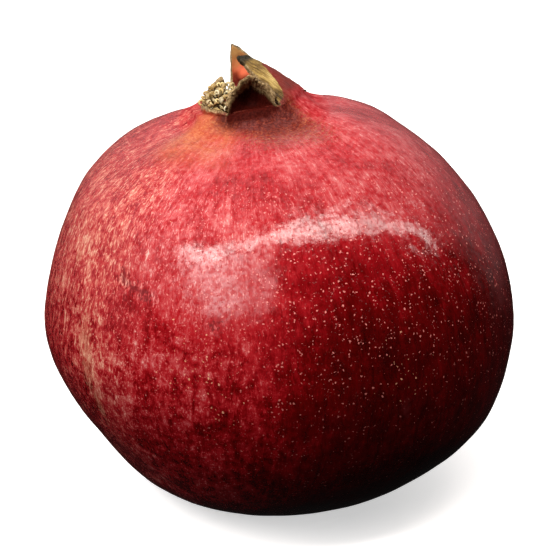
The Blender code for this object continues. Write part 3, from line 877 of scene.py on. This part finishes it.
def skin_tone(n, place, grain, streaks):
    """How light the skin is, with its streaks, bands and clouds; its fine streaks; its mottle."""
    streaked, mottled = n.mask("streaked"), n.mask("mottled")
    near_pole = n.step(n.mask("girth"), 0.66, 0.4)
    pole_grain = n.scaled(grain, (0.45, 0.45, 1.3))
    fine = n.group(streaks, vector=grain)
    fine_pole = n.group(streaks, vector=pole_grain)
    fine = n.add("ShaderNodeMix", {0: near_pole, 2: fine, 3: fine_pole}).outputs[0]
    bands = n.group(streaks, vector=grain, width=2.2, length=9)
    cloud = n.noise(place, 0.13, 3, 0.6, 0.5)
    mottle = n.noise(place, 0.55, 3, 0.6, 0.3)

    flecks = n.step(fine, 0.56, 0.68)
    tone = n.plus(
        n.mask("tone"), n.swing(fine, n.step(streaked, 0, 1, 0.2, 1)),
        n.times(flecks, n.step(streaked, 0, 0.4, 0.02, 0.14)),
    )
    uneven = n.most(n.step(streaked, 0, 0.3, 0.26, 0.5), n.times(mottled, 0.92))
    banded = n.step(mottled, 0, 1, 0.38, 0.5)
    patches = n.plus(n.swing(bands, banded), n.swing(cloud, uneven), n.swing(mottle, uneven))
    tone = n.plus(tone, n.times(patches, n.step(n.mask("calm"), 0, 1, 1, 0.25)))
    spots = n.step(n.noise(place, 2.3, 2, 0.6, 0.8), 0.57, 0.7)
    tone = n.plus(tone, n.times(spots, n.step(mottled, 0, 1, 0, 0.24)))
    return tone, fine, mottle


def with_specks(n, red, place, mottle, speckles):
    """The red with pale specks over all, clearest where it is deep, and cream ones in clusters."""
    streaked, mottled = n.mask("streaked"), n.mask("mottled")
    level = n.add("ShaderNodeSeparateXYZ", {"Vector": place}).outputs["Z"]
    clusters = n.step(n.noise(place, 0.35, 2, 0.6), 0.36, 0.62, 0.35, 1)
    crowd = n.times(clusters, n.step(level, 25, 57, 0.5, 1))
    specks = n.group(speckles, vector=place, amount=crowd)
    scattered = n.step(mottle, 0.42, 0.62, 0.05, 0.6)
    dust = n.group(speckles, vector=place, size=0.14, amount=scattered)
    shown = n.most(n.step(streaked, 0, 0.6, 1, 0.45), n.times(mottled, 0.85))
    # specks grow fainter towards the bottom, which is painted shade, and near the poles
    shown = n.times(shown, n.step(level, 22, 58, 0.35, 1), n.step(n.mask("girth"), 0.45, 0.7))
    red = n.blend(n.times(dust, shown, 0.5), red, DUST)
    red = n.blend(n.times(specks, shown), red, SPECK)
    in_patches = n.times(n.mask("cream"), 0.6)
    cream = n.group(speckles, vector=place, amount=in_patches)
    return n.blend(n.times(cream, 0.8), red, CREAM), specks


def with_scars(n, red, place, fine):
    """The red with its tan scabs and dark scuffs, both broken up by grit and streaks."""
    grit = n.noise(place, 0.9, 4, 0.7, 0.4)
    broken = n.plus(n.swing(grit, 1.8), n.swing(fine, 1.6))
    scab = n.step(n.plus(n.mask("scab"), broken), 0.45, 1)
    red = n.blend(n.times(scab, 0.5), red, n.ramp(fine, SCAB))
    torn = n.plus(n.swing(grit, 2.4), n.swing(fine, -2.4))
    scuff = n.step(n.plus(n.mask("scuff"), torn), 0.45, 1.1)
    return n.blend(n.times(scuff, n.step(n.mask("scuff"), 0.02, 0.3), 0.7), red, SCUFF)


def with_neck(n, red, place, grain):
    """The neck: an orange blush on its left, and a brown woven grain just under the calyx, darkest right
    under the rim, which is painted shade.
    """
    weave = n.noise(n.scaled(grain, (0.35, 0.35, 3.2)), 1, 3, 0.6, 0.9)
    freckle = n.noise(place, 2.2, 3, 0.65)
    patchy = n.step(n.noise(place, 0.3, 3, 0.6), 0.3, 0.6, 0.45, 1)
    red = n.blend(n.times(n.mask("blush"), patchy, 0.9), red, n.ramp(weave, ORANGE))
    collar = n.step(n.plus(n.mask("collar"), n.swing(freckle, 0.9)), 0.25, 0.85)
    # painted shade: the brown darkens right under the calyx's rim
    darker = n.step(n.mask("collar"), 0.6, 1, 0, -0.09)
    brown = n.ramp(n.plus(n.times(weave, 0.55), n.times(freckle, 0.45), darker), BROWN)
    return n.blend(n.times(collar, 0.9), red, brown)


def lobe_outside(n, red, fibre, stain):
    """The lobes' outside: dark red at the root and tan where it is dry, with painted shade along a crease
    and a pale patch.
    """
    up, across = n.mask("lobe"), n.mask("across")
    # painted shade along a crease across the lobe
    fold_shade = n.times(n.step(across, -0.9, -0.74), n.step(across, -0.46, -0.62))
    pale = n.times(n.step(up, 0.35, 0.65), n.step(up, 1.15, 0.85), n.step(across, 0.1, -0.25))
    dark_top = n.times(n.step(up, 0.85, 1.25), -0.07)
    shade = n.plus(n.times(fold_shade, -0.1), n.plus(dark_top, n.times(pale, 0.05)))
    tone = n.plus(n.times(fibre, 0.6), n.times(stain, 0.4))
    tan = n.ramp(n.plus(tone, shade, n.times(n.step(across, -0.72, -0.92), 0.05)), TAN)
    dry = n.step(n.plus(n.mask("dry"), n.swing(stain, 0.9)), 0.25, 0.55)
    colour = n.blend(n.step(up, 0, 0.35), red, n.ramp(fibre, STALK_RED))
    return n.blend(dry, colour, tan)


def with_calyx(n, red, place, grain):
    """The calyx: dry skin outside, orange to gold flesh inside, pale torn edges, and near black painted
    shade on the pressed-in front lobe and on the right lobe's curled tip.
    """
    fibre = n.noise(n.scaled(grain, (1.1, 1.1, 0.22)), 1, 4, 0.65, 0.5)
    stain = n.noise(place, 0.45, 3, 0.6, 0.4)
    grit = n.noise(place, 2.2, 3, 0.6)
    up, hollow = n.mask("lobe"), n.mask("hollow")
    colour = lobe_outside(n, red, fibre, stain)
    flesh = n.ramp(n.plus(up, n.swing(stain, 0.35)), FLESH)
    flesh = n.blend(n.step(n.mask("lump"), 0.2, 0.6), flesh, LUMP_RED)
    husk = n.ramp(n.plus(n.times(grit, 0.5), n.times(fibre, 0.5)), HUSK)
    within = n.blend(n.mask("flesh"), husk, flesh)
    colour = n.blend(n.times(n.mask("inside"), n.step(up, 0.1, 0.2)), colour, within)
    cup = n.ramp(n.noise(place, 1.2, 3, 0.6), CUP_BROWN)
    colour = n.blend(n.step(n.mask("cup"), 0, 0.25), colour, cup)
    # painted shade: near black on the pressed-in front lobe and just under it
    colour = n.blend(hollow, colour, n.ramp(grit, HOLLOW_SHADE))
    edge = n.step(n.plus(n.mask("edge"), n.swing(grit, 0.5)), 0.5, 0.8)
    edge = n.times(edge, n.step(up, 0.02, 0.12), n.step(hollow, 1, 0.5))
    torn = n.ramp(n.plus(n.times(grit, 0.5), n.times(stain, 0.5)), TORN)
    colour = n.blend(n.most(edge, n.mask("lip")), colour, torn)
    # painted shade: the right lobe's curled tip is near black
    return n.blend(n.mask("tip"), colour, n.ramp(grit, TIP_SHADE))


def rind_material():
    """The whole fruit's surface: glossy leathery skin, and the dry calyx over it."""
    material, n, shader = new_material("rind")
    streaks, speckles = streak_group(), speckle_group()
    place = n.place()
    grain = n.add("ShaderNodeAttribute", attribute_name="grain").outputs["Vector"]
    tone, fine, mottle = skin_tone(n, place, grain, streaks)
    red = n.blend(n.mask("crimson"), n.ramp(tone, RED), n.ramp(tone, CRIMSON))
    red, specks = with_specks(n, red, place, mottle, speckles)
    red = with_scars(n, red, place, fine)
    colour = with_calyx(n, with_neck(n, red, place, grain), place, grain)
    cork = n.ramp(n.noise(place, 0.8, 4, 0.65), CORK)
    colour = n.blend(n.mask("scar"), colour, cork)

    # pores and a leathery skin, which break the highlights up; the calyx is dry
    pores = n.group(speckles, vector=place, spacing=0.62, size=0.17, amount=0.85)
    grit = n.noise(place, 1.1, 3, 0.6)
    height = n.plus(
        n.times(n.noise(place, 1.9, 3, 0.6), 0.09), n.times(pores, -0.25),
        n.times(n.noise(place, 0.2, 2, 0.5), 1.6), n.times(fine, n.times(n.mask("streaked"), 0.5)),
        n.times(specks, 0.05),
    )
    matte = n.most(
        n.mask("dry"), n.mask("inside"), n.mask("hollow"), n.mask("scar"),
        n.step(n.mask("neck"), 0.1, 0.8), n.step(n.mask("scuff"), 0.1, 0.6),
    )
    rough = n.plus(
        n.times(n.mask("streaked"), 0.06), n.times(pores, 0.25),
        n.step(grit, 0.3, 0.7, 0.09, 0.16), n.times(matte, 0.45),
    )
    gloss = n.times(
        n.step(grit, 0.38, 0.6, 0.24, 0.7), n.step(pores, 0, 1, 1, 0.4),
        n.step(matte, 0, 1, 1, 0.35), n.step(n.mask("hollow"), 0, 1, 1, 0.1),
    )
    n.feed(shader, {"Base Color": colour, "Normal": n.bump(height, 0.5, 0.0002), "IOR": RIND_IOR})
    n.feed(shader, {"Roughness": rough, "Specular IOR Level": gloss})
    return material


def stamen_material():
    """Cream and straw anthers, browner along their grooves, on olive-brown threads."""
    material, n, shader = new_material("stamens")
    grit = n.noise(n.place(), 3, 3, 0.6)
    tone = n.mask("tone")
    anther = n.ramp(n.plus(n.times(tone, 0.5), n.times(grit, 0.5)), ANTHER)
    groove = n.step(n.mask("turn"), 0.3, 0.05)
    anther = n.blend(n.times(groove, 0.65), anther, GROOVE)
    thread = n.ramp(n.plus(n.times(tone, 0.6), n.times(grit, 0.4)), THREAD)
    colour = n.blend(n.mask("anther"), thread, anther)
    n.feed(shader, {"Base Color": colour, "Normal": n.bump(grit, 0.4, 0.0001), "Roughness": 0.55})
    return material


# ============ set ============

FRUIT_MIDDLE = Vector((0.0, 0.0, 0.045))
FLOOR_HALF = 3.0
FLOOR_WHITE = (0.9, 0.9, 0.9)
FLOOR_GLOW = 0.55
BRIGHT_SIDE = (-0.407, 0.856, 0.320)  # towards the middle of the bright half of the room
UP = (0, 0, 1)
ROOM_GLOW = 0.008  # how bright the room is where it is darkest
KEY_WHITE = (1.0, 0.95, 0.93)
STRIP_WHITE = (1.0, 0.91, 0.86)
# Soft lights: (turn, rise, the way its length runs, distance, size, radiance, whether the gloss shows it).
SOFT_LIGHTS = {
    "key": (-27, 38, (1, 0, 0), 0.9, (0.72, 0.68), 0.75, True),
    "key_middle": (-29, 39, (1, 0, 0), 0.89, (0.58, 0.54), 0.65, True),
    "key_left": (-35, 37, (1, 0, 0), 0.88, (0.34, 0.6), 1.3, True),
    "fill": (-75, 48, (1, 1, 0), 0.9, (1.0, 0.8), 1.75, False),
    "key_fill": (-30, 38, (1, 0, 0), 0.91, (0.8, 0.6), 0.35, False),
}
# A bent strip light over the fruit: its corners as (turn, rise), and each length's width and radiance.
STRIP_CORNERS = ((-58, 39), (0, 60.5), (76, 58.5), (104, 26))
STRIPS = ((0.14, 5.8), (0.17, 8.2), (0.10, 5.4))
STRIP_DISTANCE = 0.8
CAMERA_DISTANCE = 0.46
CAMERA_RISE = 20
VIEW_WIDTH = 0.1147
VIEW_MIDDLE = Vector((0.0001, 0.0, 0.0446))


def make_floor():
    mesh = bpy.data.meshes.new("floor")
    corners = [(x * FLOOR_HALF, y * FLOOR_HALF, 0) for x, y in ((-1, -1), (1, -1), (1, 1), (-1, 1))]
    mesh.from_pydata(corners, [], [(0, 1, 2, 3)])
    floor = put("floor", mesh)
    material, n, shader = new_material("floor")
    looks = {"Base Color": FLOOR_WHITE, "Roughness": 0.9, "Specular IOR Level": 0.0}
    n.feed(shader, looks | {"Emission Color": (1, 1, 1), "Emission Strength": FLOOR_GLOW})
    mesh.materials.append(material)
    floor.visible_diffuse = False
    floor.visible_glossy = False


def heading(turn, rise):
    """A direction: turn degrees to the right of the camera, rise degrees up."""
    turn, rise = math.radians(turn), math.radians(rise)
    return Vector((math.sin(turn) * math.cos(rise), -math.cos(turn) * math.cos(rise), math.sin(rise)))


def soft_light(name, shape, towards, side, distance, size, radiance, colour):
    """A flat soft light that faces the fruit; `side` is the way its length runs."""
    light = bpy.data.lights.new(name, "AREA")
    light.shape = shape
    light.size, light.size_y = size
    light.energy = 4 * radiance * size[0] * size[1]
    light.color = colour
    lamp = put(name, light)
    back = towards.normalized()
    across = (side - back * side.dot(back)).normalized()
    facing = Matrix((across, back.cross(across), back)).transposed().to_4x4()
    lamp.matrix_world = Matrix.Translation(FRUIT_MIDDLE + back * distance) @ facing
    return lamp


def make_room():
    """A soft room that is pale behind the fruit and dark in front, and white to the camera."""
    world = bpy.data.worlds.new("room")
    bpy.context.scene.world = world
    world.use_nodes = True
    n = Nodes(world.node_tree)
    direction = n.add("ShaderNodeTexCoord").outputs["Generated"]

    def facing(way):
        made = n.add("ShaderNodeVectorMath", {0: direction, 1: way}, operation="DOT_PRODUCT")
        return made.outputs["Value"]

    room = n.times(
        n.step(facing(BRIGHT_SIDE), -0.05, 0.35), n.step(facing(UP), -0.15, 0.7, 0.12, 0.75),
        n.step(facing(UP), -0.3, 0.0),
    )
    seen = n.add("ShaderNodeLightPath").outputs["Is Camera Ray"]
    colour = n.blend(seen, n.plus(room, ROOM_GLOW), (1, 1, 1))
    n.join(colour, world.node_tree.nodes["Background"].inputs["Color"])


def make_lights():
    """The soft lights at the left and the bent strip above."""
    for name, (turn, rise, side, distance, size, radiance, shown) in SOFT_LIGHTS.items():
        way = heading(turn, rise)
        lamp = soft_light(name, "ELLIPSE", way, Vector(side), distance, size, radiance, KEY_WHITE)
        lamp.visible_glossy = shown
    corners = [heading(turn, rise) for turn, rise in STRIP_CORNERS]
    for i, (width, radiance) in enumerate(STRIPS):
        first, last = corners[i], corners[i + 1]
        size = (2 * STRIP_DISTANCE * math.tan(first.angle(last) / 2), width)
        name, way = f"strip_{i}", first + last
        soft_light(name, "RECTANGLE", way, last - first, STRIP_DISTANCE, size, radiance, STRIP_WHITE)


def make_camera():
    cam = put("camera", bpy.data.cameras.new("camera"))
    rise = math.radians(CAMERA_RISE)
    back = Vector((0.0, -math.cos(rise), math.sin(rise)))
    cam.location = VIEW_MIDDLE + back * CAMERA_DISTANCE
    cam.rotation_mode = "QUATERNION"
    cam.rotation_quaternion = (-back).to_track_quat("-Z", "Y")
    cam.data.lens = cam.data.sensor_width * CAMERA_DISTANCE / VIEW_WIDTH
    cam.data.clip_start = 0.01
    bpy.context.scene.camera = cam


def main():
    bpy.context.scene.view_settings.view_transform = "Standard"
    fruit, offset = make_fruit()
    fruit.data.materials.append(rind_material())
    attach(fruit, "root")
    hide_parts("fruit")
    stamens = make_stamens(fruit, offset)
    stamens.data.materials.append(stamen_material())
    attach(stamens, "root")
    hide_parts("stamens")
    make_floor()
    make_room()
    make_lights()
    make_camera()


main()
